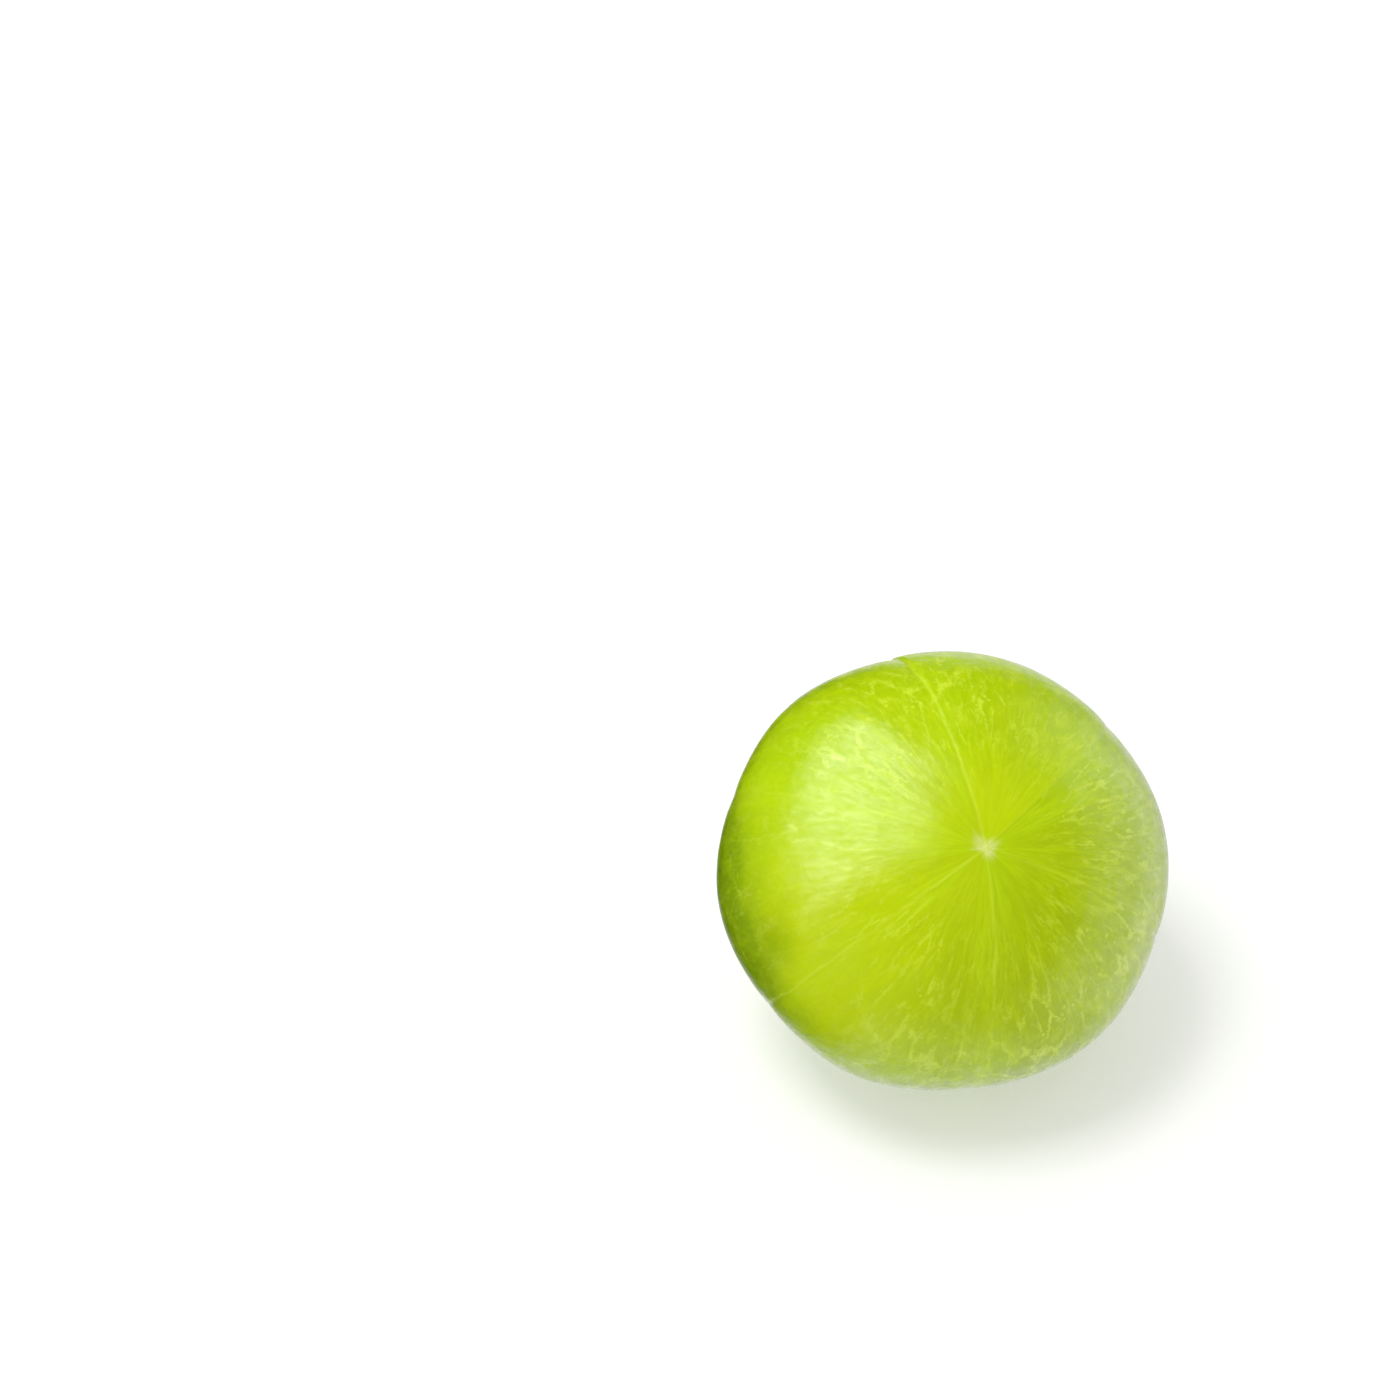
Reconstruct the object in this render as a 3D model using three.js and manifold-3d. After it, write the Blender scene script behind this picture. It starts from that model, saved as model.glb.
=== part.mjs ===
// A whole Indian gooseberry, the fruit of Phyllanthus emblica, as picked.
// The skin and flesh are one solid with six shallow lobes. A short dry stalk end stands in the
// basin at the stem end, inside a ring of six dry sepals.
// Millimetres, +Z up. The origin is the middle of the small flat spot that the fruit rests on.
// The fruit's own frame has its centre as origin and its +Z axis through the blossom end.

import * as THREE from 'three';
import { mergeVertices } from 'three/addons/utils/BufferGeometryUtils.js';
import Module from 'manifold-3d';

const DEGREE = Math.PI / 180;

// Size of the whole fruit
const EQUATOR_RADIUS = 14.05; // centre to the crown of a lobe, before the oval
const EQUATOR_OVAL = 0.0125; // share by which the equator is longer one way, shorter the other
const OVAL_AZIMUTH = -26 * DEGREE; // the equator's long way
const POLE_RADIUS = 12.95; // centre to either end, before the basin and the dimple

// Pose: the blossom end leans forward from straight up, and the underside is pressed flat
const LEAN = 40 * DEGREE;
const FLAT_DEPTH = 0.45; // thickness of the cap that the flat spot takes away

// Lobes, each between two seams that run from end to end
const SEAM_AZIMUTHS = [-157, -97, -31, 29, 90, 147].map((angle) => angle * DEGREE);
const LOBE_BULGES = [0.32, 0.29, 0.23, 0.17, 0.29, 0.28]; // crown above its two seams
const SEAM_DEPTH = 0.06; // of the narrow crease along the seam itself
const SEAM_WIDTH = 0.5; // from the crease's middle to where it has mostly faded
const LOBE_FADE = 0.5; // how slowly the lobes flatten towards both ends

// The two ends
const BASIN_DEPTH = 1.3;
const BASIN_RADIUS = 3.2;
const DIMPLE_DEPTH = 0.22;
const DIMPLE_RADIUS = 1.5;

// Stalk end, in a socket of the basin's floor
const GAP = 0.3; // left between pieces
const STALK_RADIUS = 0.95;
const STALK_TAPER = 0.12; // the top is narrower by this much
const STALK_HEIGHT = 1.1; // above the basin's floor
const SOCKET_DEPTH = 1.0;

// Ring of dry sepals round the stalk
const CALYX_THICKNESS = 0.6;
const CALYX_NOTCH_RADIUS = 1.75; // between two sepals
const OUTER_SEPAL_RADIUS = 2.55; // the three longer sepals
const INNER_SEPAL_RADIUS = 2.25; // the three shorter ones between them
const SEPAL_CURL = 0.1; // rise of a long sepal's tip off the skin

// Mesh resolution
const STEPS_PER_LOBE = 14;
const POLAR_STEPS = 46;
const POLAR_CROWDING = 0.4; // 0 spaces the rings evenly, 1 crowds them most at the two ends
const CALYX_STEPS = 72;
const SEPAL_STEPS = 3;
const ROUND_SIDES = 24;

const wasm = await Module();
wasm.setup();

// The lobe at this azimuth, how far across it the azimuth lies, and the angle to its nearer seam
function lobeAt(azimuth) {
  const first = SEAM_AZIMUTHS[0];
  const turned = first + THREE.MathUtils.euclideanModulo(azimuth - first, 2 * Math.PI);
  let lobe = 0;
  while (lobe < SEAM_AZIMUTHS.length - 1 && turned >= SEAM_AZIMUTHS[lobe + 1]) {
    lobe += 1;
  }
  const start = SEAM_AZIMUTHS[lobe];
  const end = lobe < SEAM_AZIMUTHS.length - 1 ? SEAM_AZIMUTHS[lobe + 1] : first + 2 * Math.PI;
  const toSeam = Math.min(turned - start, end - turned);
  return { lobe, across: (turned - start) / (end - start), toSeam };
}

// Distance from the fruit's axis out to the skin, were this latitude the equator
function reachAt(azimuth, latitudeShare) {
  const { lobe, across, toSeam } = lobeAt(azimuth);
  const oval = EQUATOR_RADIUS * EQUATOR_OVAL * Math.cos(2 * (azimuth - OVAL_AZIMUTH));
  const hollow = (LOBE_BULGES[lobe] / 2) * (1 + Math.cos(2 * Math.PI * across));
  const arc = toSeam * EQUATOR_RADIUS * latitudeShare;
  const crease = SEAM_DEPTH * Math.exp(-((arc / SEAM_WIDTH) ** 2));
  return EQUATOR_RADIUS + oval - (hollow + crease) * latitudeShare ** LOBE_FADE;
}

// How far the skin stands out along the axis, at this distance from it: a dome with a hollow
function domeHeight(radius, hollowDepth, hollowRadius) {
  const dome = POLE_RADIUS * Math.sqrt(Math.max(0, 1 - (radius / EQUATOR_RADIUS) ** 2));
  return dome - hollowDepth * Math.exp(-((radius / hollowRadius) ** 2));
}

function blossomHeight(radius) {
  return domeHeight(radius, DIMPLE_DEPTH, DIMPLE_RADIUS);
}

function stemHeight(radius) {
  return domeHeight(radius, BASIN_DEPTH, BASIN_RADIUS);
}

function skinPoint(polar, azimuth) {
  const latitudeShare = Math.sin(polar);
  const radius = latitudeShare * reachAt(azimuth, latitudeShare);
  const plainRadius = latitudeShare * EQUATOR_RADIUS;
  const upper = polar < Math.PI / 2;
  const height = upper ? blossomHeight(plainRadius) : -stemHeight(plainRadius);
  return new THREE.Vector3(radius * Math.cos(azimuth), radius * Math.sin(azimuth), height);
}

// Azimuths of the mesh's columns: every seam has one of its own
function columnAzimuths() {
  const azimuths = [];
  SEAM_AZIMUTHS.forEach((start, lobe) => {
    const next = SEAM_AZIMUTHS[lobe + 1] ?? SEAM_AZIMUTHS[0] + 2 * Math.PI;
    for (let step = 0; step < STEPS_PER_LOBE; step += 1) {
      azimuths.push(start + ((next - start) * step) / STEPS_PER_LOBE);
    }
  });
  return azimuths;
}

// Angle from the blossom pole of the ring this share of the way down
function polarAngle(share) {
  return Math.PI * share - (POLAR_CROWDING / 2) * Math.sin(2 * Math.PI * share);
}

function geometryFrom(points, triangles) {
  const geometry = new THREE.BufferGeometry().setFromPoints(points);
  geometry.setIndex(triangles);
  return geometry;
}

// Closed skin from the blossom pole, ring by ring, to the stem pole
function skinGeometry() {
  const azimuths = columnAzimuths();
  const count = azimuths.length;
  const points = [skinPoint(0, 0)];
  for (let row = 1; row < POLAR_STEPS; row += 1) {
    const polar = polarAngle(row / POLAR_STEPS);
    azimuths.forEach((azimuth) => points.push(skinPoint(polar, azimuth)));
  }
  points.push(skinPoint(Math.PI, 0));
  const last = points.length - 1;
  const triangles = [];
  for (let column = 0; column < count; column += 1) {
    const next = (column + 1) % count;
    triangles.push(0, 1 + column, 1 + next);
    triangles.push(last, last - count + next, last - count + column);
    for (let row = 0; row < POLAR_STEPS - 2; row += 1) {
      const upper = 1 + row * count;
      const lower = upper + count;
      triangles.push(upper + column, lower + column, lower + next);
      triangles.push(upper + column, lower + next, upper + next);
    }
  }
  return geometryFrom(points, triangles);
}

function solidFrom(geometry) {
  const bare = geometry.clone();
  bare.deleteAttribute('normal');
  bare.deleteAttribute('uv');
  const merged = mergeVertices(bare);
  const vertProperties = new Float32Array(merged.attributes.position.array);
  const triVerts = new Uint32Array(merged.index.array);
  return new wasm.Manifold(new wasm.Mesh({ numProp: 3, vertProperties, triVerts }));
}

function geometryOf(solid) {
  const mesh = solid.getMesh();
  const geometry = new THREE.BufferGeometry();
  geometry.setAttribute('position', new THREE.BufferAttribute(mesh.vertProperties, 3));
  geometry.setIndex(new THREE.BufferAttribute(mesh.triVerts, 1));
  return geometry;
}

// Where the leaning fruit's centre stands over the middle of the flat spot
function centreOverFlat() {
  const sine = Math.sin(LEAN);
  const cosine = Math.cos(LEAN);
  const reach = Math.hypot(EQUATOR_RADIUS * sine, POLE_RADIUS * cosine);
  const offset = ((EQUATOR_RADIUS ** 2 - POLE_RADIUS ** 2) * sine * cosine) / reach;
  return new THREE.Vector3(0, offset, reach - FLAT_DEPTH);
}

// Lays a geometry of the fruit's own frame where the fruit rests
function rest(geometry) {
  const centre = centreOverFlat();
  return geometry.rotateX(LEAN).translate(centre.x, centre.y, centre.z);
}

function fruitGeometry() {
  const socket = new THREE.CylinderGeometry(
    STALK_RADIUS + GAP,
    STALK_RADIUS + GAP,
    2 * SOCKET_DEPTH,
    ROUND_SIDES,
  );
  socket.rotateX(Math.PI / 2).translate(0, 0, -stemHeight(0));
  const below = new THREE.BoxGeometry(2 * EQUATOR_RADIUS, 2 * EQUATOR_RADIUS, EQUATOR_RADIUS);
  below.translate(0, 0, -EQUATOR_RADIUS / 2);
  const skin = solidFrom(rest(skinGeometry()));
  return geometryOf(skin.subtract(solidFrom(rest(socket))).subtract(solidFrom(below)));
}

// Stem-end frame: +Z points out of the fruit, and its origin is on the basin's floor
function sepalRadius(azimuth) {
  const tips = Math.cos(3 * azimuth);
  const tip = tips > 0 ? OUTER_SEPAL_RADIUS : INNER_SEPAL_RADIUS;
  return CALYX_NOTCH_RADIUS + (tip - CALYX_NOTCH_RADIUS) * Math.abs(tips);
}

function calyxPoint(radius, azimuth, lift) {
  const inner = STALK_RADIUS + GAP;
  const out = (radius - inner) / (OUTER_SEPAL_RADIUS - inner);
  const height = stemHeight(radius) - stemHeight(0) + GAP + SEPAL_CURL * out ** 2 + lift;
  return new THREE.Vector3(radius * Math.cos(azimuth), radius * Math.sin(azimuth), height);
}

// Closed ring: each azimuth has one loop of points, out along the top and back along the underside
function calyxGeometry() {
  const inner = STALK_RADIUS + GAP;
  const loop = 2 * (SEPAL_STEPS + 1);
  const points = [];
  const triangles = [];
  for (let step = 0; step < CALYX_STEPS; step += 1) {
    const azimuth = (2 * Math.PI * step) / CALYX_STEPS;
    const outer = sepalRadius(azimuth);
    const radii = [];
    for (let along = 0; along <= SEPAL_STEPS; along += 1) {
      radii.push(inner + ((outer - inner) * along) / SEPAL_STEPS);
    }
    radii.forEach((radius) => points.push(calyxPoint(radius, azimuth, CALYX_THICKNESS)));
    radii.reverse().forEach((radius) => points.push(calyxPoint(radius, azimuth, 0)));
    for (let corner = 0; corner < loop; corner += 1) {
      const here = step * loop + corner;
      const ahead = step * loop + ((corner + 1) % loop);
      const beside = ((step + 1) % CALYX_STEPS) * loop + corner;
      const across = ((step + 1) % CALYX_STEPS) * loop + ((corner + 1) % loop);
      triangles.push(here, ahead, across);
      triangles.push(here, across, beside);
    }
  }
  return geometryFrom(points, triangles);
}

function stalkGeometry() {
  const foot = GAP - SOCKET_DEPTH;
  const profile = [
    new THREE.Vector2(0, foot),
    new THREE.Vector2(STALK_RADIUS, foot),
    new THREE.Vector2(STALK_RADIUS, 0),
    new THREE.Vector2(STALK_RADIUS - STALK_TAPER, STALK_HEIGHT - STALK_TAPER),
    new THREE.Vector2(STALK_RADIUS - 2 * STALK_TAPER, STALK_HEIGHT),
    new THREE.Vector2(0, STALK_HEIGHT - STALK_TAPER),
  ];
  return new THREE.LatheGeometry(profile, ROUND_SIDES).rotateX(Math.PI / 2);
}

function namedMesh(name, geometry, color, roughness) {
  const material = new THREE.MeshStandardMaterial({ color, roughness, metalness: 0 });
  const mesh = new THREE.Mesh(geometry, material);
  mesh.name = name;
  return mesh;
}

const stemEnd = new THREE.Group();
stemEnd.rotation.x = Math.PI;
stemEnd.position.z = -stemHeight(0);
stemEnd.add(namedMesh('calyx', calyxGeometry(), 0x7a5a30, 0.85));
stemEnd.add(namedMesh('stalk_stub', stalkGeometry(), 0xa89468, 0.8));

const leaning = new THREE.Group();
leaning.rotation.x = LEAN;
leaning.position.copy(centreOverFlat());
leaning.add(stemEnd);

const gooseberry = new THREE.Group();
gooseberry.add(namedMesh('fruit', fruitGeometry(), 0xb4d21c, 0.3));
gooseberry.add(leaning);

export default gooseberry;
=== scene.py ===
"""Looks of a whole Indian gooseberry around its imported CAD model. Metres, +Z up, row frame."""

import math
from typing import NamedTuple

import bpy
import numpy as np
from mathutils import Matrix, Vector, noise


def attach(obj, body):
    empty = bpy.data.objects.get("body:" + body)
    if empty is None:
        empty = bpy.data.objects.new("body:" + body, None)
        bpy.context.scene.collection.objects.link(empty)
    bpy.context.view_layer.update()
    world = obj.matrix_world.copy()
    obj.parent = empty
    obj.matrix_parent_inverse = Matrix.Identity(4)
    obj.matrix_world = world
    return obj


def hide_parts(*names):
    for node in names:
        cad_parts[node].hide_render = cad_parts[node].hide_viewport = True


MM = 0.001
TINY = 1e-4  # least distance from an axis, where it is divided by

# Shape of the fruit in millimetres, as in the part's own source
EQUATOR_RADIUS = 14.05
EQUATOR_OVAL = 0.0125
OVAL_AZIMUTH = math.radians(-26)
POLE_RADIUS = 12.95
LEAN = math.radians(40)
FLAT_DEPTH = 0.45
SEAM_AZIMUTHS = [math.radians(angle) for angle in (-157, -97, -31, 29, 90, 147)]
LOBE_BULGES = (0.32, 0.29, 0.23, 0.17, 0.29, 0.28)
SEAM_DEPTH = 0.06
SEAM_WIDTH = 0.65  # the crease is a little softer than the source's
LOBE_FADE = 0.5
BASIN_DEPTH = 1.3
BASIN_RADIUS = 3.2
DIMPLE_DEPTH = 0.22
DIMPLE_RADIUS = 1.5
STALK_RADIUS = 0.95
STALK_TAPER = 0.12
STALK_HEIGHT = 1.1
CALYX_NOTCH_RADIUS = 1.75
OUTER_SEPAL_RADIUS = 2.55
INNER_SEPAL_RADIUS = 2.25

# Mesh of the skin, its flat spot and its fine relief, in millimetres
SKIN_CELLS = 126  # quads along each edge of the cube that the skin is spread from
FLAT_BLEND = 0.10  # height over which the flat spot rounds into the skin
FLAT_BLEND_REACH = 4  # the rounding ends at this many times that height
FLAT_SINK = 40  # the flat spot is lowered by one part in this many of that height
SWELL_HEIGHT = 0.05
SWELL_SIZE = 5.0
PUCKER_HEIGHT = 0.012
PUCKER_SIZE = 1.1
PUCKER_SHIFT = Vector((7, 3, 5))


class Rough(NamedTuple):
    """Noise on a dry piece's shape: its height and the size of its features, in millimetres."""

    height: float
    size: float
    shift: float  # sets it apart from the other noises


SHIFT_SKEW = 0.7  # keeps the shift off the noise's diagonals


# Dry sepals, in millimetres of the stem-end frame
SEPAL_COLUMNS = 216
SEPAL_ROWS = 16
SEPAL_PAIRS = 3  # of a long sepal and a short one
SEPAL_GAP = 0.05  # between the stalk and the ring
SEPAL_NOTCH = CALYX_NOTCH_RADIUS - 0.1
SEPAL_TIP_POWER = 0.8  # under 1 makes a tip blunter
SEPAL_TATTERS = (Rough(0.10, 0.9, 4.0), Rough(0.05, 0.22, 8.0))
SEPAL_TATTERS_ROUND = 3  # radius of the circle that their noise is read on
SEPAL_TATTER_POWER = 0.5  # with which they grow from a notch to a tip
SEPAL_THICKNESS = 0.16
SEPAL_THINNING = 0.65  # share of its thickness that a tip has lost
SEPAL_REST = 0.11  # the middle of the ring's inner edge lies this far over the skin
SEPAL_LIFT = 0.42  # further rise of a sepal's tip
SEPAL_LIFT_POWER = 1.6
SEPAL_LIFT_SHARE = 0.7  # of that lift on a usual sepal
SEPAL_LIFT_RANGE = Rough(0.5, 1.7, 3.0)  # by which one sepal differs from another
SEPAL_CUP = 0.22  # rise of a sepal's sides over its middle
SEPAL_RIB = 0.05  # height of the rib along its middle
SEPAL_RIB_WIDTH = 0.03
SEPAL_CRUMPLE = Rough(0.10, 0.45, 2.0)
SEPAL_CREASES = Rough(0.04, 0.16, 6.0)
CALYX_ROOM = 0.9  # height over the skin that the ring may take

# Stalk end, in millimetres of the stem-end frame
STALK_COLUMNS = 120
STALK_FOOT = -0.5  # the foot is sunk in the basin's floor
STALK_FOOT_RINGS = 8
STALK_RINGS = 22  # up the side, and as many in over the top
STALK_FIRST_RING = 0.05  # over the foot, as a share of the height
STALK_FLARE = 0.044  # by which the foot is wider
STALK_FLARE_FADE = 9
STALK_SIDE_TAPER = 0.9 * STALK_TAPER
STALK_SHOULDER = 0.7 * STALK_TAPER  # the side ends this far under the top
STALK_CROWN_POWER = 0.7
STALK_CENTRE = 0.02  # how near the axis the rings start and end, where a facet closes them
STALK_TOP = 2 * STALK_TAPER  # depth and width of the top's rounded edge
STALK_RIBS = Rough(0.045, 0.35, 5.0)
STALK_RIBS_ROUND = 2.2  # radius of the circle that their noise is read on
STALK_RIBS_DOWN = 0.25  # under 1 draws the ribs out along the stalk
STALK_BARK = Rough(0.03, 0.12, 9.0)
STALK_BARK_GROWTH = 1.5  # of the bark and ribs from the middle out, until they are full
STALK_FIBRES = (Rough(0.07, 0.13, 1.0), Rough(0.05, 0.3, 7.0))
STALK_GROOVE = 0.05  # depth of the ring round the pith
STALK_GROOVE_AT = 0.55  # share of the radius
STALK_GROOVE_WIDTH = 0.09

# Camera: the fruit's place and size in the 1400-pixel frame of the photograph
IMAGE_SIZE = 1400
SENSOR_MM = 36.0
LENS_MM = 100.0
VIEW_AZIMUTH = math.radians(-18.5)
VIEW_ELEVATION = math.radians(45)
VIEW_DISTANCE = 244.0
FRUIT_PIXEL = (942.4, 871.5)
CLIP_START = 0.01

# Light, its directions given as right, up and back of the camera
KEY_DIRECTION = (-0.30, 0.70, 0.86)
KEY_POWER = 0.98
KEY_SIZE = 0.16
KEY_DISTANCE = 0.45
AMBIENT_LIGHT = 0.575
AMBIENT_WAY = (-0.55, 0.55, 0.30)
AMBIENT_TILT = 0.26  # by which the ambient light is stronger from that way
WHITE = (1, 1, 1, 1)
FLOOR_HALF = 1.5
FLOOR_WHITE = 0.60
FLOOR_GLOW = 0.42  # the floor is a light table
FLOOR_ROUGHNESS = 0.6
FLOOR_SPECULAR = 0.2

# What shows in reflections: a window, a reflector on the right and a white sweep behind.
# Each edge is where its light starts and where it is full.
WINDOW_LIGHT = 5.6
WINDOW_WAY = (-0.636, 0.545, 0.543)
WINDOW_ACROSS = (0.75, 0.277, 0.60)
WINDOW_UP = (0.225, 0.807, -0.547)
WINDOW_FRONT = (-0.1, 0.2)  # keeps its light on its own side of the studio
WINDOW_EDGES = (
    ((1, 0), -0.74, -0.10),
    ((-1, 0), -0.80, -0.50),
    ((-1, 0), -1.35, -0.05),
    ((0, 1), -0.95, -0.50),
    ((0, -1), -0.95, -0.56),
    ((0.7, -0.7), -0.78, -0.36),
    ((-0.442, -0.897), -0.73, -0.49),
    ((-0.453, 0.891), -0.76, -0.36),
)
REFLECTOR_LIGHT = 1.35
REFLECTOR_RIGHT = (0.30, 0.75)
REFLECTOR_AHEAD = (-0.40, 0.0)
SWEEP_LIGHT = 0.72
SWEEP_RISE = 0.334
SWEEP_LEFT = 0.25
SWEEP_LOW = (0.15, 0.70)
SWEEP_SLANT = 0.30
SWEEP_SIDE = (-0.32, -0.12)


# ---------------------------------------------------------------- shape

def lobe_at(azimuth):
    """The lobe at each azimuth, how far across it, and the angle to its nearer seam."""
    seams = np.array(SEAM_AZIMUTHS + [SEAM_AZIMUTHS[0] + 2 * math.pi])
    turned = seams[0] + np.mod(azimuth - seams[0], 2 * math.pi)
    lobe = np.clip(np.searchsorted(seams, turned, side="right") - 1, 0, len(LOBE_BULGES) - 1)
    start, end = seams[lobe], seams[lobe + 1]
    return lobe, (turned - start) / (end - start), np.minimum(turned - start, end - turned)


def reach_at(azimuth, latitude_share):
    """Distance from the fruit's axis out to the skin, were this latitude the equator."""
    lobe, across, to_seam = lobe_at(azimuth)
    oval = EQUATOR_RADIUS * EQUATOR_OVAL * np.cos(2 * (azimuth - OVAL_AZIMUTH))
    hollow = np.array(LOBE_BULGES)[lobe] / 2 * (1 + np.cos(2 * np.pi * across))
    arc = to_seam * EQUATOR_RADIUS * latitude_share
    crease = SEAM_DEPTH * np.exp(-((arc / SEAM_WIDTH) ** 2))
    return EQUATOR_RADIUS + oval - (hollow + crease) * latitude_share**LOBE_FADE


def dome_height(radius, hollow_depth, hollow_radius):
    dome = POLE_RADIUS * np.sqrt(np.maximum(0, 1 - (radius / EQUATOR_RADIUS) ** 2))
    return dome - hollow_depth * np.exp(-((radius / hollow_radius) ** 2))


def blossom_height(radius):
    return dome_height(radius, DIMPLE_DEPTH, DIMPLE_RADIUS)


def stem_height(radius):
    return dome_height(radius, BASIN_DEPTH, BASIN_RADIUS)


def centre_over_flat():
    """The fruit's centre in millimetres of the row frame."""
    sine, cosine = math.sin(LEAN), math.cos(LEAN)
    reach = math.hypot(EQUATOR_RADIUS * sine, POLE_RADIUS * cosine)
    offset = (EQUATOR_RADIUS**2 - POLE_RADIUS**2) * sine * cosine / reach
    return Vector((0, offset, reach - FLAT_DEPTH))


def fruit_to_row():
    """The fruit's own frame, in millimetres, to the row frame, in metres."""
    turn = Matrix.Rotation(LEAN, 4, "X")
    return Matrix.Scale(MM, 4) @ Matrix.Translation(centre_over_flat()) @ turn


def stem_to_row():
    """The stem-end frame, +Z out of the fruit from the basin's floor, to the row frame."""
    drop = Matrix.Translation((0, 0, -float(stem_height(0.0))))
    return fruit_to_row() @ drop @ Matrix.Rotation(math.pi, 4, "X")


def apply_matrix(matrix, points):
    m = np.array(matrix)
    return points @ m[:3, :3].T + m[:3, 3]


def mesh_object(name, points, faces, smooth=True):
    mesh = bpy.data.meshes.new(name)
    mesh.from_pydata([tuple(p) for p in points], [], [tuple(f) for f in faces])
    mesh.validate()
    mesh.polygons.foreach_set("use_smooth", [smooth] * len(mesh.polygons))
    mesh.update()
    thing = bpy.data.objects.new(name, mesh)
    bpy.context.scene.collection.objects.link(thing)
    return thing


def ball_grid(cells):
    """Even quads over a ball: unit directions and faces, from the lattice on a cube's skin."""
    keys, faces = {}, []

    def corner(key):
        return keys.setdefault(key, len(keys))

    for axis in range(3):
        first, second = (axis + 1) % 3, (axis + 2) % 3
        for side in (0, cells):
            for i in range(cells):
                for j in range(cells):
                    quad = []
                    for di, dj in ((0, 0), (1, 0), (1, 1), (0, 1)):
                        key = [0, 0, 0]
                        key[axis], key[first], key[second] = side, i + di, j + dj
                        quad.append(corner(tuple(key)))
                    faces.append(quad if side else quad[::-1])
    lattice = np.array(list(keys), float) / cells - 0.5
    spread = np.tan(lattice * math.pi / 2)
    return spread / np.linalg.norm(spread, axis=1)[:, None], faces


def skin_points(directions):
    """Points of the skin in the fruit's own frame, in millimetres."""
    share = np.hypot(directions[:, 0], directions[:, 1])
    azimuth = np.arctan2(directions[:, 1], directions[:, 0])
    radius = share * reach_at(azimuth, share)
    plain = share * EQUATOR_RADIUS
    height = np.where(directions[:, 2] > 0, blossom_height(plain), -stem_height(plain))
    points = np.stack([radius * np.cos(azimuth), radius * np.sin(azimuth), height], 1)
    return points + directions * fine_relief(points)[:, None]


def fine_relief(points):
    """Height of the skin's soft swells and small puckers at each point."""
    swell = [noise.noise(Vector(p) / SWELL_SIZE) for p in points]
    pucker = [noise.noise(Vector(p) / PUCKER_SIZE + PUCKER_SHIFT) for p in points]
    return SWELL_HEIGHT * np.array(swell) + PUCKER_HEIGHT * np.array(pucker)


def press_flat(points):
    """Rounds off everything under the surface that the fruit rests on, in the row frame."""
    blend = FLAT_BLEND * MM
    z = points[:, 2]
    lifted = (z + np.sqrt(z**2 + blend**2)) / 2
    pressed = np.maximum(lifted - blend / FLAT_SINK, 0)
    points[:, 2] = np.where(z < FLAT_BLEND_REACH * blend, pressed, z)
    return points


def make_fruit():
    directions, faces = ball_grid(SKIN_CELLS)
    points = apply_matrix(fruit_to_row(), skin_points(directions))
    return mesh_object("gooseberry_skin", press_flat(points), faces)


def rough(point, kind):
    """The height of this kind of noise at a point."""
    shift = Vector((kind.shift, kind.shift * SHIFT_SKEW, -kind.shift))
    return kind.height * noise.noise(Vector(point) / kind.size + shift)


def tube_faces(columns, rows, close_rows):
    """Quads of a grid that closes round its columns, and round its rows if asked."""
    faces = []
    for row in range(rows if close_rows else rows - 1):
        for column in range(columns):
            ahead = (column + 1) % columns
            above = (row + 1) % rows
            faces.append([row * columns + column, row * columns + ahead,
                          above * columns + ahead, above * columns + column])
    return faces


def turns_of(columns):
    return [2 * math.pi * column / columns for column in range(columns)]


def sepal_outline(azimuth):
    """Radius of the ragged ring's edge: long sepals with short ones between."""
    tips = math.cos(SEPAL_PAIRS * azimuth)
    tip = OUTER_SEPAL_RADIUS if tips > 0 else INNER_SEPAL_RADIUS
    around = SEPAL_TATTERS_ROUND
    ring = (around * math.cos(azimuth), around * math.sin(azimuth), 0)
    ragged = sum(rough(ring, kind) for kind in SEPAL_TATTERS)
    pointed = SEPAL_NOTCH + (tip - SEPAL_NOTCH) * abs(tips) ** SEPAL_TIP_POWER
    return pointed + ragged * abs(tips) ** SEPAL_TATTER_POWER


def sepal_point(azimuth, out, side):
    """Point of a dry sepal: out runs from the ring's inner edge to the tip, side 1 is the top."""
    inner = STALK_RADIUS + SEPAL_GAP
    radius = inner + (sepal_outline(azimuth) - inner) * out
    across = math.sin(SEPAL_PAIRS * azimuth) ** 2
    flat = (radius * math.cos(azimuth), radius * math.sin(azimuth), 0)
    which = round(azimuth / (math.pi / SEPAL_PAIRS)) % (2 * SEPAL_PAIRS)
    curl = SEPAL_LIFT_SHARE + rough((which, 0, 0), SEPAL_LIFT_RANGE)
    curl *= SEPAL_LIFT * out**SEPAL_LIFT_POWER
    cupped = SEPAL_CUP * across * out
    rib = SEPAL_RIB * math.exp(-across / SEPAL_RIB_WIDTH) * (1 - out)
    crumple = out * rough(flat, SEPAL_CRUMPLE) + rough(flat, SEPAL_CREASES)
    half_thickness = SEPAL_THICKNESS * (1 - SEPAL_THINNING * out) / 2
    over_skin = SEPAL_REST + curl + cupped + rib + crumple + half_thickness * side
    floor = float(stem_height(np.float64(radius)) - stem_height(0.0))
    return flat[0], flat[1], floor + min(over_skin, CALYX_ROOM)


def make_sepals():
    outs = np.linspace(0, 1, SEPAL_ROWS)
    loop = [(out, 1) for out in outs] + [(out, -1) for out in outs[::-1]]
    turns = turns_of(SEPAL_COLUMNS)
    points = [sepal_point(turn, out, side) for out, side in loop for turn in turns]
    faces = [face[::-1] for face in tube_faces(SEPAL_COLUMNS, len(loop), True)]
    return mesh_object("dry_sepals", apply_matrix(stem_to_row(), np.array(points)), faces)


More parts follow.
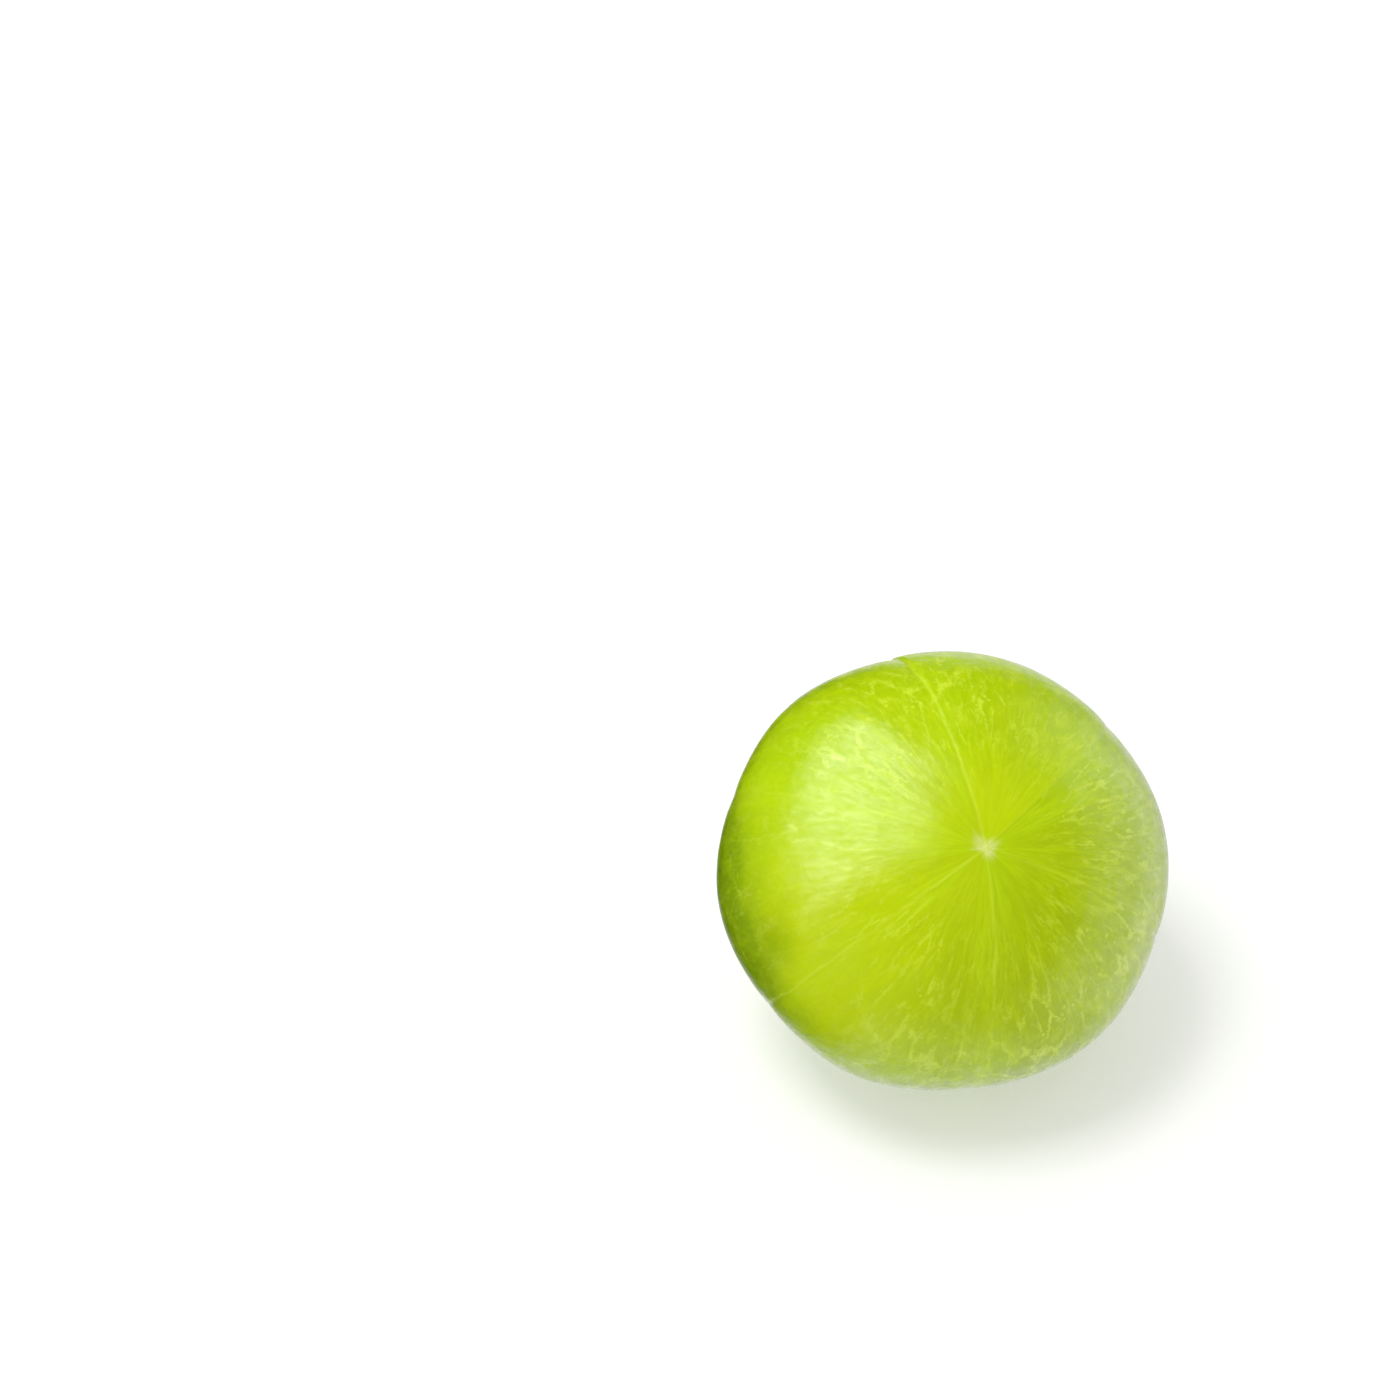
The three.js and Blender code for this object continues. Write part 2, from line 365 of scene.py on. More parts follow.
def stalk_profile():
    """Half outline of the stalk's end, as radius and height, from the foot up and in to the top."""
    foot = [(STALK_RADIUS, height) for height in np.linspace(STALK_FOOT, 0, STALK_FOOT_RINGS)]
    side = []
    for share in np.linspace(STALK_FIRST_RING, 1, STALK_RINGS):
        flare = STALK_FLARE * math.exp(-share * STALK_FLARE_FADE)
        radius = STALK_RADIUS - STALK_SIDE_TAPER * share + flare
        side.append((radius, (STALK_HEIGHT - STALK_SHOULDER) * share))
    face = []
    for share in np.linspace(1, STALK_CENTRE, STALK_RINGS):
        sunk = STALK_TAPER * (1 - share) ** STALK_CROWN_POWER
        face.append(((STALK_RADIUS - STALK_TOP) * share, STALK_HEIGHT - sunk))
    return [(STALK_CENTRE, STALK_FOOT)] + foot + side + face


def stalk_point(radius, height, azimuth):
    """Ribs and bark down the side, broken wood fibres and a sunken pith on the top."""
    unit = (math.cos(azimuth), math.sin(azimuth))
    around = (STALK_RIBS_ROUND * unit[0], STALK_RIBS_ROUND * unit[1], height * STALK_RIBS_DOWN)
    ribs = rough(around, STALK_RIBS) + rough((*unit, height), STALK_BARK)
    share = radius / STALK_RADIUS
    from_groove = (share - STALK_GROOVE_AT) / STALK_GROOVE_WIDTH
    radius = radius + ribs * min(1.0, share * STALK_BARK_GROWTH)
    flat = (radius * unit[0], radius * unit[1], 0)
    if height > STALK_HEIGHT - STALK_TOP:
        height += sum(rough(flat, kind) for kind in STALK_FIBRES)
        height -= STALK_GROOVE * math.exp(-(from_groove**2))
    return flat[0], flat[1], min(height, STALK_HEIGHT)


def make_stalk():
    profile = stalk_profile()
    turns = turns_of(STALK_COLUMNS)
    points = [stalk_point(radius, height, turn) for radius, height in profile for turn in turns]
    faces = tube_faces(STALK_COLUMNS, len(profile), False)
    last = (len(profile) - 1) * STALK_COLUMNS
    faces.append(list(range(STALK_COLUMNS))[::-1])
    faces.append([last + column for column in range(STALK_COLUMNS)])
    return mesh_object("stalk_end", apply_matrix(stem_to_row(), np.array(points)), faces)


# ---------------------------------------------------------------- nodes

class Graph:
    """Builds a material's nodes; a value given to any call is a number or another node's output."""

    def __init__(self, owner):
        owner.use_nodes = True
        self.owner = owner
        self.tree = owner.node_tree
        self.shader = self.tree.nodes.get("Principled BSDF")

    def put(self, socket, value):
        if isinstance(value, bpy.types.NodeSocket):
            self.tree.links.new(value, socket)
        else:
            socket.default_value = value

    def node(self, kind, settings=None, **inputs):
        made = self.tree.nodes.new(kind)
        for key, value in (settings or {}).items():
            setattr(made, key, value)
        for key, value in inputs.items():
            self.put(made.inputs[key.replace("_", " ")], value)
        return made

    def operate(self, kind, operation, values):
        made = self.node(kind, {"operation": operation})
        for socket, value in zip(made.inputs, values):
            self.put(socket, value)
        return made

    def math(self, operation, *values):
        return self.operate("ShaderNodeMath", operation, values).outputs[0]

    def vector(self, operation, *values):
        return self.operate("ShaderNodeVectorMath", operation, values).outputs[0]

    def dot(self, *values):
        return self.operate("ShaderNodeVectorMath", "DOT_PRODUCT", values).outputs["Value"]

    def product(self, first, *others):
        for other in others:
            first = self.math("MULTIPLY", first, other)
        return first

    def scaled_sum(self, value, scale, added):
        return self.math("MULTIPLY_ADD", value, scale, added)

    def from_axis(self, x, y):
        """Distance from an axis, and the direction away from it."""
        squares = self.scaled_sum(x, x, self.product(y, y))
        radius = self.math("MAXIMUM", self.math("SQRT", squares), TINY)
        return radius, self.math("DIVIDE", x, radius), self.math("DIVIDE", y, radius)

    def join(self, x, y, z):
        made = self.tree.nodes.new("ShaderNodeCombineXYZ")
        for socket, value in zip(made.inputs, (x, y, z)):
            self.put(socket, value)
        return made.outputs[0]

    def split(self, vector):
        return self.node("ShaderNodeSeparateXYZ", Vector=vector).outputs

    def step(self, value, low, high, to_low=0.0, to_high=1.0):
        """Smooth step from to_low at low to to_high at high."""
        made = self.node("ShaderNodeMapRange", {"interpolation_type": "SMOOTHSTEP"})
        for key, item in zip(
            ("Value", "From Min", "From Max", "To Min", "To Max"),
            (value, low, high, to_low, to_high),
        ):
            self.put(made.inputs[key], item)
        return made.outputs[0]

    def noise(self, vector, scale, detail=2.0, roughness=0.5, distortion=0.0):
        made = self.node(
            "ShaderNodeTexNoise",
            Vector=vector,
            Scale=scale,
            Detail=detail,
            Roughness=roughness,
            Distortion=distortion,
        )
        return made.outputs["Fac"]

    def mix_value(self, factor, first, second):
        made = self.tree.nodes.new("ShaderNodeMix")
        for socket, value in zip(made.inputs[:1] + made.inputs[2:4], (factor, first, second)):
            self.put(socket, value)
        return made.outputs[0]

    def mix(self, factor, first, second):
        made = self.node("ShaderNodeMix", {"data_type": "RGBA"})
        for socket, value in zip(made.inputs[:1] + made.inputs[6:8], (factor, first, second)):
            self.put(socket, value)
        return made.outputs[2]

    def row_point(self, matrix):
        """The shaded point in millimetres of the frame that matrix takes to the row frame."""
        place, turn, _ = matrix.decompose()
        where = self.tree.nodes.new("ShaderNodeTexCoord").outputs["Object"]
        return self.node(
            "ShaderNodeMapping",
            {"vector_type": "TEXTURE"},
            Vector=where,
            Location=place,
            Rotation=turn.to_euler(),
            Scale=(MM, MM, MM),
        ).outputs[0]

    def finish(self, base_color, roughness, relief, relief_height):
        """Puts colour, roughness and a bump of this height, in millimetres, on the shader."""
        bump = self.node("ShaderNodeBump", Height=relief, Distance=relief_height * MM, Strength=1.0)
        self.put(self.shader.inputs["Base Color"], base_color)
        self.put(self.shader.inputs["Roughness"], roughness)
        self.put(self.shader.inputs["Normal"], bump.outputs[0])
        return self.owner


class Grain(NamedTuple):
    """A noise node's numbers, for a pattern that is alike in all directions."""

    scale: float
    detail: float = 2.0
    roughness: float = 0.5
    distortion: float = 0.0


class Streaks(NamedTuple):
    """A noise's numbers, for a pattern drawn out along the meridians."""

    across: float  # scale round the fruit
    down: float  # scale along a meridian, for each millimetre
    shift: float = 0.0
    detail: float = 2.0
    roughness: float = 0.5
    distortion: float = 0.0


class Strokes(NamedTuple):
    """Numbers of a broken net of short strokes, in millimetres."""

    spacing: float
    length: float
    width: float  # in cells of the net
    shift: float
    share: float  # of the skin that has strokes


def linear(red, green, blue):
    """An sRGB colour of 0 to 255 as the linear colour that a shader takes."""
    parts = []
    for part in (red, green, blue):
        share = part / 255
        low = share <= 0.04045
        parts.append(share / 12.92 if low else ((share + 0.055) / 1.055) ** 2.4)
    return (*parts, 1.0)


# ---------------------------------------------------------------- skin

SKIN_GREEN = linear(165, 201, 2)
SKIN_YELLOW = linear(173, 195, 2)
# painted shade: the darker green laid on the left cheek and on the underside
SKIN_PAINTED_SHADE = linear(100, 134, 1)
# pale tone of some lobes, also used for painted light: bounce light on the lower left and the lit
# lobes
SKIN_PALE_AND_PAINTED_LIGHT = linear(206, 220, 4)
SKIN_BRIGHT = linear(193, 224, 14)
SKIN_MOTTLE = linear(198, 220, 18)
VEIN_PALE = linear(216, 234, 66)
SCAR_CREAM = linear(238, 238, 170)
SCAR_RUST = linear(190, 130, 50)
STEM_RUSSET = linear(168, 132, 60)

# One value for each lobe or seam, in the order of SEAM_AZIMUTHS
# paleness by lobe: partly the lobes' own tone, partly painted light on the lobes that face the lamp
LOBE_PALENESS_AND_PAINTED_LIGHT = (0.12, 0.0, 0.0, 0.10, 0.12, 0.14)
POLE_PALENESS = (0.16, 0.02, 0.06, 0.40, 0.22, 0.18)
LOBE_WAX = (1.0, 1.0, 1.0, 0.45, 1.0, 1.0)
# pale bands along the seams; the strong band on the last seam is partly a painted highlight on its
# ridge
SEAM_BANDS_AND_PAINTED_SHEEN = (0.18, 0.22, 0.14, 0.30, 0.18, 0.34)
SEAM_LINES = (0.40, 0.26, 0.24, 0.16, 0.46, 0.12)

# Sides of the fruit, in its own frame
YELLOW_WAY = Vector((0.33, -0.77, 0.55)).normalized()
# painted light: paler towards this side, for light bounced up from the lower left
PAINTED_BOUNCE_WAY = Vector((-0.744, -0.239, 0.625)).normalized()
# painted shade: darker green towards this side, the left cheek, as if fruit beside it shaded it
PAINTED_SHADE_WAY = Vector((-0.98, 0.02, -0.12)).normalized()
# painted shade: darker green on the underside, which faces the floor
UNDERSIDE_SHADE_WAY = Vector((0, -math.sin(LEAN), -math.cos(LEAN)))

# Each STEP below is where it starts and ends, and what it gives there if not 0 and 1

# Lobes and seams
LOBE_EDGE = math.radians(1.6)  # from a seam to where its lobe has its full tone
SEAM_WANDER = 0.06
SEAM_WANDER_GRAIN = Grain(0.45)
SEAM_BAND_EDGES = (0.1, 2.2)
SEAM_LINE_EDGES = (0.03, 0.17)
SEAM_BROKEN_STEP = (0.34, 0.66, 0.35, 1.0)
SEAM_FADING_STEP = (1.3, 2.2, 1.0, 0.35)

# Ground colour, with painted light and painted shade
BROAD_RAYS = Streaks(3.0, 0.04, distortion=0.3)
PATCHES = Grain(0.16, distortion=0.5)
RAYS_TINT = 0.5
PATCHES_TINT = 0.5
YELLOW_TINT = 0.4
TINT_STEP = (0.1, 1.15)
# painted bounce light on the lower left
PAINTED_BOUNCE_STEP = (0.78, 1.0, 0.0, 0.32)
PALE_POLE_STEP = (math.radians(9), math.radians(36), 1.0, 0.0)
CALM_STEP = (0.10, 0.75, 1.0, 0.4)
# painted shade on the left cheek, made ragged by the patches
PAINTED_SHADE_PATCHES = 0.3
PAINTED_SHADE_STEP = (0.73, 1.0, 0.0, 0.76)
# painted shade on the underside
UNDERSIDE_SHADE_STEP = (0.0, 0.6, 0.0, 0.35)

# Rays round the blossom end
FINE_RAYS = Streaks(15.0, 0.14, detail=4.0, roughness=0.72, distortion=0.5)
RAY_STEP = (0.45, 0.66)
RAY_POLE_STEP = (math.radians(6), math.radians(56), 1.0, 0.0)
RAY_PATCHES = Streaks(2.2, 0.12, 4.0)
RAY_PATCH_STEP = (0.35, 0.65, 0.25, 1.0)
RAY_SHARE = 0.70

# Mottling
BLOTCHES = Streaks(EQUATOR_RADIUS * 0.9, 0.5, 0.0, 4.0, 0.68, 0.4)
BLOTCH_STEP = (0.44, 0.72)
BLOTCH_SHARE = 0.50
FEATHERS = Streaks(EQUATOR_RADIUS * 2.0, 0.55, 7.0, 4.0, 0.7, 0.8)
FEATHER_STEP = (0.50, 0.70)
FEATHER_POLE_STEP = (0.1, 0.6)
FEATHER_SHARE = 0.50

# Veins: two nets of short strokes, and flecks
COARSE_STROKES = Strokes(1.3, 3.2, 0.12, 0.0, 0.19)
SMALL_STROKES = Strokes(0.75, 1.5, 0.16, 9.0, 0.11)
SMALL_STROKE_SHARE = 0.7
STROKE_JITTER_SCALE = 3.8
STROKE_JITTER = 0.38
STROKE_CORE = 0.2  # share of its width that has a stroke's full strength
STROKE_PLACES = Streaks(EQUATOR_RADIUS * 1.2, 0.6, 3.0, 3.0, 0.65)
STROKE_PLACE_STEP = (0.62, 0.80)
FLECK_SCALE = 1.5
FLECK_SIZE_STEP = (0.40, 1.0)
FLECK_SIZE = 0.24
FLECK_EDGE_STEP = (0.0, 0.06)
FLECK_SHARE = 0.8
VEIN_POLE_STEP = (math.radians(8), math.radians(34))
VEIN_PLACES = Grain(0.22, 1.0)
VEIN_PLACE_STEP = (0.35, 0.65, 0.45, 1.0)
VEIN_SHARE = 0.66

# Scar of the style, and the stain round the stalk
SCAR_TUFT = Grain(2.2, 3.0, 0.6, 0.8)
SCAR_ARMS = Streaks(1.1, 0.0, 2.0, 1.0)
SCAR_ARM_REACH = 2.4
SCAR_REACH = -0.75
SCAR_RAY_REACH = 0.9
SCAR_LEAST_REACH = 0.35
SCAR_STEP = (0.0, 1.15, 1.0, 0.0)
SCAR_TUFT_STEP = (0.30, 0.62, 0.30, 0.75)
SPECK_TUFT_STEP = (0.54, 0.62)
SPECK_STEP = (0.05, 0.3, 0.4, 0.0)
STAIN_RAGGEDNESS = 1.3
STAIN_STEP = (0.9, 2.6, 0.8, 0.0)

# Gloss and relief
SKIN_GRAIN = Grain(0.75, 2.0, 0.55, 0.3)
SKIN_STREAKS = Streaks(EQUATOR_RADIUS * 0.7, 0.30, 5.0, distortion=0.4)
DULL_STREAKS = 0.6
DULL_GRAIN = 0.4
ROUGHNESS_STEP = (0.35, 0.65, 0.14, 0.27)
WAX = Streaks(EQUATOR_RADIUS * 1.7, 0.8, 11.0, 5.0, 0.78, 0.6)
WAX_STEP = (0.38, 0.62)
WAX_RANGE = 0.50
WAX_LEAST = 0.17
WAX_FEATHERS = 0.10
WAX_VEINS = 0.90
WAX_CALM_VEINS = -0.75
RELIEF_GRAIN = 1.5
RELIEF_POLE_STEP = (math.radians(12), math.radians(50))
RELIEF_HEIGHT = 0.065
SKIN_SETTINGS = {
    "Coat Roughness": 0.18,
    "Specular IOR Level": 0.24,
    "IOR": 1.42,
    "Subsurface Weight": 0.35,
    "Subsurface Radius": (1.0, 1.0, 0.15),
    "Subsurface Scale": 2.0 * MM,
}


class SkinPlace:
    """Where a shaded point lies on the fruit: its own axes, meridians and seams, in millimetres."""

    def __init__(self, g):
        self.g = g
        self.point = g.row_point(fruit_to_row())
        self.out = g.vector("NORMALIZE", self.point)
        x, y, self.height = g.split(self.point)
        self.radius, self.cosine, self.sine = g.from_axis(x, y)
        self.azimuth = g.math("ARCTAN2", y, x)
        self.polar = g.math("ARCTAN2", self.radius, self.height)
        self.down = g.product(self.polar, EQUATOR_RADIUS)

    def along(self, across_scale, down_scale, shift=0.0):
        """Coordinates that run with the meridians, so that a pattern on them meets at both ends."""
        g = self.g
        return g.join(
            g.scaled_sum(self.cosine, across_scale, shift),
            g.scaled_sum(self.sine, across_scale, shift),
            g.product(self.down, down_scale),
        )

    def streaks(self, kind):
        coordinates = self.along(kind.across, kind.down, kind.shift)
        return self.g.noise(coordinates, 1.0, kind.detail, kind.roughness, kind.distortion)

    def grain(self, kind):
        return self.g.noise(self.point, *kind)

    def along_seams(self, strengths, near, far):
        """A line of its own strength along each seam, full to near and gone at far."""
        g = self.g
        lines = 0.0
        wander = g.math("SUBTRACT", self.grain(SEAM_WANDER_GRAIN), 0.5)
        azimuth = g.scaled_sum(wander, SEAM_WANDER, self.azimuth)
        for seam, strength in zip(SEAM_AZIMUTHS, strengths):
            half = g.product(g.math("SUBTRACT", azimuth, seam), 0.5)
            chord = g.product(g.math("ABSOLUTE", g.math("SINE", half)), 2.0)
            distance = g.product(chord, self.radius)
            lines = g.math("MAXIMUM", lines, g.step(distance, near, far, strength, 0.0))
        return lines

    def by_lobe(self, values):
        """One value for each lobe, changing at the seams."""
        g = self.g
        total = values[-1]
        for seam, before, after in zip(SEAM_AZIMUTHS, (values[-1], *values), values):
            change = g.step(self.azimuth, seam - LOBE_EDGE, seam + LOBE_EDGE, 0.0, after - before)
            total = g.math("ADD", total, change)
        return total


def ground_colour(g, where):
    """Yellower to one side, lobes paler partly as painted light, painted bounce light on the lower
    left, and painted shade, a darker green, on the left cheek and underneath.
    """
    patches = where.grain(PATCHES)
    tint = g.scaled_sum(where.streaks(BROAD_RAYS), RAYS_TINT, g.product(patches, PATCHES_TINT))
    tint = g.scaled_sum(g.dot(where.out, YELLOW_WAY), YELLOW_TINT, tint)
    colour = g.mix(g.step(tint, *TINT_STEP), SKIN_GREEN, SKIN_YELLOW)
    # painted bounce light on the lower left
    pale = g.step(g.dot(where.out, PAINTED_BOUNCE_WAY), *PAINTED_BOUNCE_STEP)
    # lobe tones, partly painted light on the lit lobes
    pale = g.math("ADD", pale, where.by_lobe(LOBE_PALENESS_AND_PAINTED_LIGHT))
    near_pole = g.step(where.polar, *PALE_POLE_STEP)
    pale = g.scaled_sum(near_pole, where.by_lobe(POLE_PALENESS), pale)
    colour = g.mix(pale, colour, SKIN_PALE_AND_PAINTED_LIGHT)
    ragged = g.math("SUBTRACT", patches, 0.5)
    # painted shade: a darker green on the left cheek
    shade = g.scaled_sum(ragged, PAINTED_SHADE_PATCHES, g.dot(where.out, PAINTED_SHADE_WAY))
    colour = g.mix(g.step(shade, *PAINTED_SHADE_STEP), colour, SKIN_PAINTED_SHADE)
    # painted shade: a darker green underneath
    under = g.step(g.dot(where.out, UNDERSIDE_SHADE_WAY), *UNDERSIDE_SHADE_STEP)
    return g.mix(under, colour, SKIN_PAINTED_SHADE)


def pole_rays(g, where, fine):
    """Fine soft rays round the blossom end."""
    rays = g.product(g.step(fine, *RAY_STEP), g.step(where.polar, *RAY_POLE_STEP))
    return g.product(rays, g.step(where.streaks(RAY_PATCHES), *RAY_PATCH_STEP))


def strokes(g, where, kind):
    """Short thin strokes down the meridians: scattered pieces of a drawn-out net."""
    jitter = g.node("ShaderNodeTexNoise", Vector=where.point, Scale=STROKE_JITTER_SCALE, Detail=2.0)
    jitter = g.vector("SUBTRACT", jitter.outputs["Color"], (0.5,) * 3)
    jitter = g.vector("MULTIPLY", jitter, (STROKE_JITTER,) * 3)
    at = where.along(EQUATOR_RADIUS / kind.spacing, 1 / kind.length, kind.shift)
    at = g.vector("ADD", at, jitter)
    net = g.node("ShaderNodeTexVoronoi", {"feature": "DISTANCE_TO_EDGE"}, Vector=at, Scale=1.0)
    line = g.step(net.outputs["Distance"], kind.width * STROKE_CORE, kind.width, 1.0, 0.0)
    places = STROKE_PLACES._replace(shift=STROKE_PLACES.shift + kind.shift)
    edges = (edge - kind.share for edge in STROKE_PLACE_STEP)
    return g.product(line, g.step(where.streaks(places), *edges))


def flecks(g, where):
    """Small round pale flecks of all sizes."""
    cells = g.node("ShaderNodeTexVoronoi", Vector=where.point, Scale=FLECK_SCALE, Randomness=1.0)
    size = g.step(g.split(cells.outputs["Color"])[0], *FLECK_SIZE_STEP)
    inside = g.math("SUBTRACT", g.product(size, FLECK_SIZE), cells.outputs["Distance"])
    return g.step(inside, *FLECK_EDGE_STEP)


def vein_net(g, where):
    """Strokes and flecks, denser on some parts of the skin and none at the scar."""
    small = g.product(strokes(g, where, SMALL_STROKES), SMALL_STROKE_SHARE)
    veins = g.math("MAXIMUM", strokes(g, where, COARSE_STROKES), small)
    veins = g.math("MAXIMUM", veins, g.product(flecks(g, where), FLECK_SHARE))
    places = g.step(where.grain(VEIN_PLACES), *VEIN_PLACE_STEP)
    return g.product(veins, g.product(g.step(where.polar, *VEIN_POLE_STEP), places))


def add_seams(g, where, colour, fine):
    """Pale band and line along each seam; the band on the last seam is partly a painted highlight
    on its ridge.
    """
    broken = g.step(fine, *SEAM_BROKEN_STEP)
    band = g.product(where.along_seams(SEAM_BANDS_AND_PAINTED_SHEEN, *SEAM_BAND_EDGES), broken)
    line = g.product(where.along_seams(SEAM_LINES, *SEAM_LINE_EDGES), broken)
    line = g.product(line, g.step(where.polar, *SEAM_FADING_STEP))
    return g.mix(line, g.mix(band, colour, SKIN_BRIGHT), VEIN_PALE)


def add_scar(g, where, colour, fine):
    """Soft cream tuft of the style's scar, with a speck of rust."""
    blossom_half = g.math("GREATER_THAN", where.height, 0.0)
    tuft = where.grain(SCAR_TUFT)
    reach = g.scaled_sum(where.streaks(SCAR_ARMS), SCAR_ARM_REACH, SCAR_REACH)
    reach = g.math("MAXIMUM", g.scaled_sum(fine, SCAR_RAY_REACH, reach), SCAR_LEAST_REACH)
    scar = g.step(g.math("DIVIDE", where.radius, reach), *SCAR_STEP)
    scar = g.product(scar, blossom_half, g.step(tuft, *SCAR_TUFT_STEP))
    speck = g.product(g.step(tuft, *SPECK_TUFT_STEP), g.step(where.radius, *SPECK_STEP))
    speck = g.product(speck, blossom_half)
    return g.mix(speck, g.mix(scar, colour, SCAR_CREAM), SCAR_RUST)


def add_stain(g, where, colour, blotch):
    """Russet stain in the basin round the stalk."""
    ragged = g.math("SUBTRACT", where.radius, g.product(blotch, STAIN_RAGGEDNESS))
    stem_half = g.math("LESS_THAN", where.height, 0.0)
    return g.mix(g.product(g.step(ragged, *STAIN_STEP), stem_half), colour, STEM_RUSSET)


def wax_coat(g, where, feather, veins, calm):
    """Weight of the waxy coat: mottled, heavier on feathers and veins."""
    wax = g.scaled_sum(g.step(where.streaks(WAX), *WAX_STEP), WAX_RANGE, WAX_LEAST)
    wax = g.scaled_sum(feather, WAX_FEATHERS, wax)
    wax = g.scaled_sum(veins, g.scaled_sum(calm, WAX_CALM_VEINS, WAX_VEINS), wax)
    return g.product(wax, where.by_lobe(LOBE_WAX))


def skin_material():
    g = Graph(bpy.data.materials.new("gooseberry_skin"))
    where = SkinPlace(g)
    calm = g.step(g.dot(where.out, PAINTED_SHADE_WAY), *CALM_STEP)  # less marked on the left cheek, where shade is painted
    fine = where.streaks(FINE_RAYS)
    blotch = g.step(where.streaks(BLOTCHES), *BLOTCH_STEP)
    feather = g.step(where.streaks(FEATHERS), *FEATHER_STEP)
    feather = g.product(feather, g.step(where.polar, *FEATHER_POLE_STEP))
    veins = vein_net(g, where)

    colour = ground_colour(g, where)
    colour = g.mix(g.product(pole_rays(g, where, fine), RAY_SHARE), colour, SKIN_BRIGHT)
    colour = g.mix(g.product(blotch, calm, BLOTCH_SHARE), colour, SKIN_MOTTLE)
    colour = g.mix(g.product(feather, calm, FEATHER_SHARE), colour, SKIN_MOTTLE)
    colour = g.mix(g.product(veins, calm, VEIN_SHARE), colour, VEIN_PALE)
    colour = add_seams(g, where, colour, fine)
    colour = add_scar(g, where, colour, fine)
    colour = add_stain(g, where, colour, blotch)

    grain = where.grain(SKIN_GRAIN)
    streak = where.streaks(SKIN_STREAKS)
    dull = g.scaled_sum(streak, DULL_STREAKS, g.product(grain, DULL_GRAIN))
    smooth_pole = g.product(streak, g.step(where.polar, *RELIEF_POLE_STEP))
    relief = g.scaled_sum(grain, RELIEF_GRAIN, smooth_pole)
    g.put(g.shader.inputs["Coat Weight"], wax_coat(g, where, feather, veins, calm))
    for name, value in SKIN_SETTINGS.items():
        g.shader.inputs[name].default_value = value
    return g.finish(colour, g.step(dull, *ROUGHNESS_STEP), relief, RELIEF_HEIGHT)


# ---------------------------------------------------------------- dry pieces

SEPAL_BROWN = linear(132, 98, 66)
SEPAL_DARK = linear(78, 50, 36)
SEPAL_TAN = linear(190, 156, 108)
STALK_TAN = linear(168, 150, 106)
STALK_DARK = linear(96, 74, 46)
STALK_PALE = linear(206, 198, 150)

AROUND_SCALE = 0.08  # of the radius, in patterns that run out from the stalk
UP_SCALE = 0.15  # of the height, in patterns that run up the stalk

PAPER = Grain(2.5, 4.0, 0.65, 0.5)
PAPER_STEP = (0.35, 0.65)
SEPAL_VEINS = Grain(11.0, 3.0, 0.6, 0.1)
SEPAL_VEIN_STEP = (0.50, 0.66, 0.0, 0.55)
SEPAL_VEIN_RELIEF = 0.8
TIP_RAGGEDNESS = 0.9
TIP_STEP = (2.0, 3.0)
TIP_SHARE = 0.7
PAPER_ROUGHNESS_STEP = (0.3, 0.7, 0.62, 0.88)
PAPER_HEIGHT = 0.08

BARK = Grain(6.0, 4.0, 0.65, 0.3)
BARK_STEP = (0.38, 0.60)
BARK_RELIEF = 0.8
WOOD = Grain(7.0, 4.0, 0.65)
WOOD_STEP = (0.50, 0.70, 0.0, 0.6)
WOOD_ROUGHNESS_STEP = (0.3, 0.7, 0.7, 0.92)
WOOD_HEIGHT = 0.10
TOP_STEP = (STALK_HEIGHT - 2.2 * STALK_TAPER, STALK_HEIGHT - STALK_TAPER)
PITH_WAVER = Grain(9.0)
PITH_WAVER_SIZE = 0.25
PITH_RADIUS = 0.62
PITH_STEP = (0.03, 0.16, 0.8, 0.0)


class StemPlace:
    """Where a shaded point lies at the stem end: its radius and azimuth round the stalk."""

    def __init__(self, g):
        self.point = g.row_point(stem_to_row())
        x, y, self.height = g.split(self.point)
        self.radius, cosine, sine = g.from_axis(x, y)
        self.around = g.join(cosine, sine, g.product(self.radius, AROUND_SCALE))
        self.up_and_around = g.join(cosine, sine, g.product(self.height, UP_SCALE))


def sepal_material():
    g = Graph(bpy.data.materials.new("dry_sepals"))
    where = StemPlace(g)
    papery = g.noise(where.point, *PAPER)
    veins = g.noise(where.around, *SEPAL_VEINS)
    colour = g.mix(g.step(papery, *PAPER_STEP), SEPAL_DARK, SEPAL_BROWN)
    tips = g.step(g.scaled_sum(papery, TIP_RAGGEDNESS, where.radius), *TIP_STEP)
    colour = g.mix(g.product(tips, TIP_SHARE), colour, SEPAL_TAN)
    colour = g.mix(g.step(veins, *SEPAL_VEIN_STEP), colour, SEPAL_TAN)
    relief = g.scaled_sum(veins, SEPAL_VEIN_RELIEF, papery)
    return g.finish(colour, g.step(papery, *PAPER_ROUGHNESS_STEP), relief, PAPER_HEIGHT)


def stalk_material():
    g = Graph(bpy.data.materials.new("stalk_end"))
    where = StemPlace(g)
    bark = g.noise(where.up_and_around, *BARK)
    grain = g.noise(where.point, *WOOD)
    side = g.mix(g.step(bark, *BARK_STEP), STALK_DARK, STALK_TAN)
    waver = g.scaled_sum(g.noise(where.around, *PITH_WAVER), PITH_WAVER_SIZE, where.radius)
    from_pith = g.math("ABSOLUTE", g.math("SUBTRACT", waver, PITH_RADIUS))
    wood = g.mix(g.step(from_pith, *PITH_STEP), STALK_PALE, SEPAL_BROWN)
    wood = g.mix(g.step(grain, *WOOD_STEP), wood, STALK_DARK)
    colour = g.mix(g.step(where.height, *TOP_STEP), side, wood)
    relief = g.scaled_sum(bark, BARK_RELIEF, grain)
    return g.finish(colour, g.step(grain, *WOOD_ROUGHNESS_STEP), relief, WOOD_HEIGHT)


# ---------------------------------------------------------------- studio

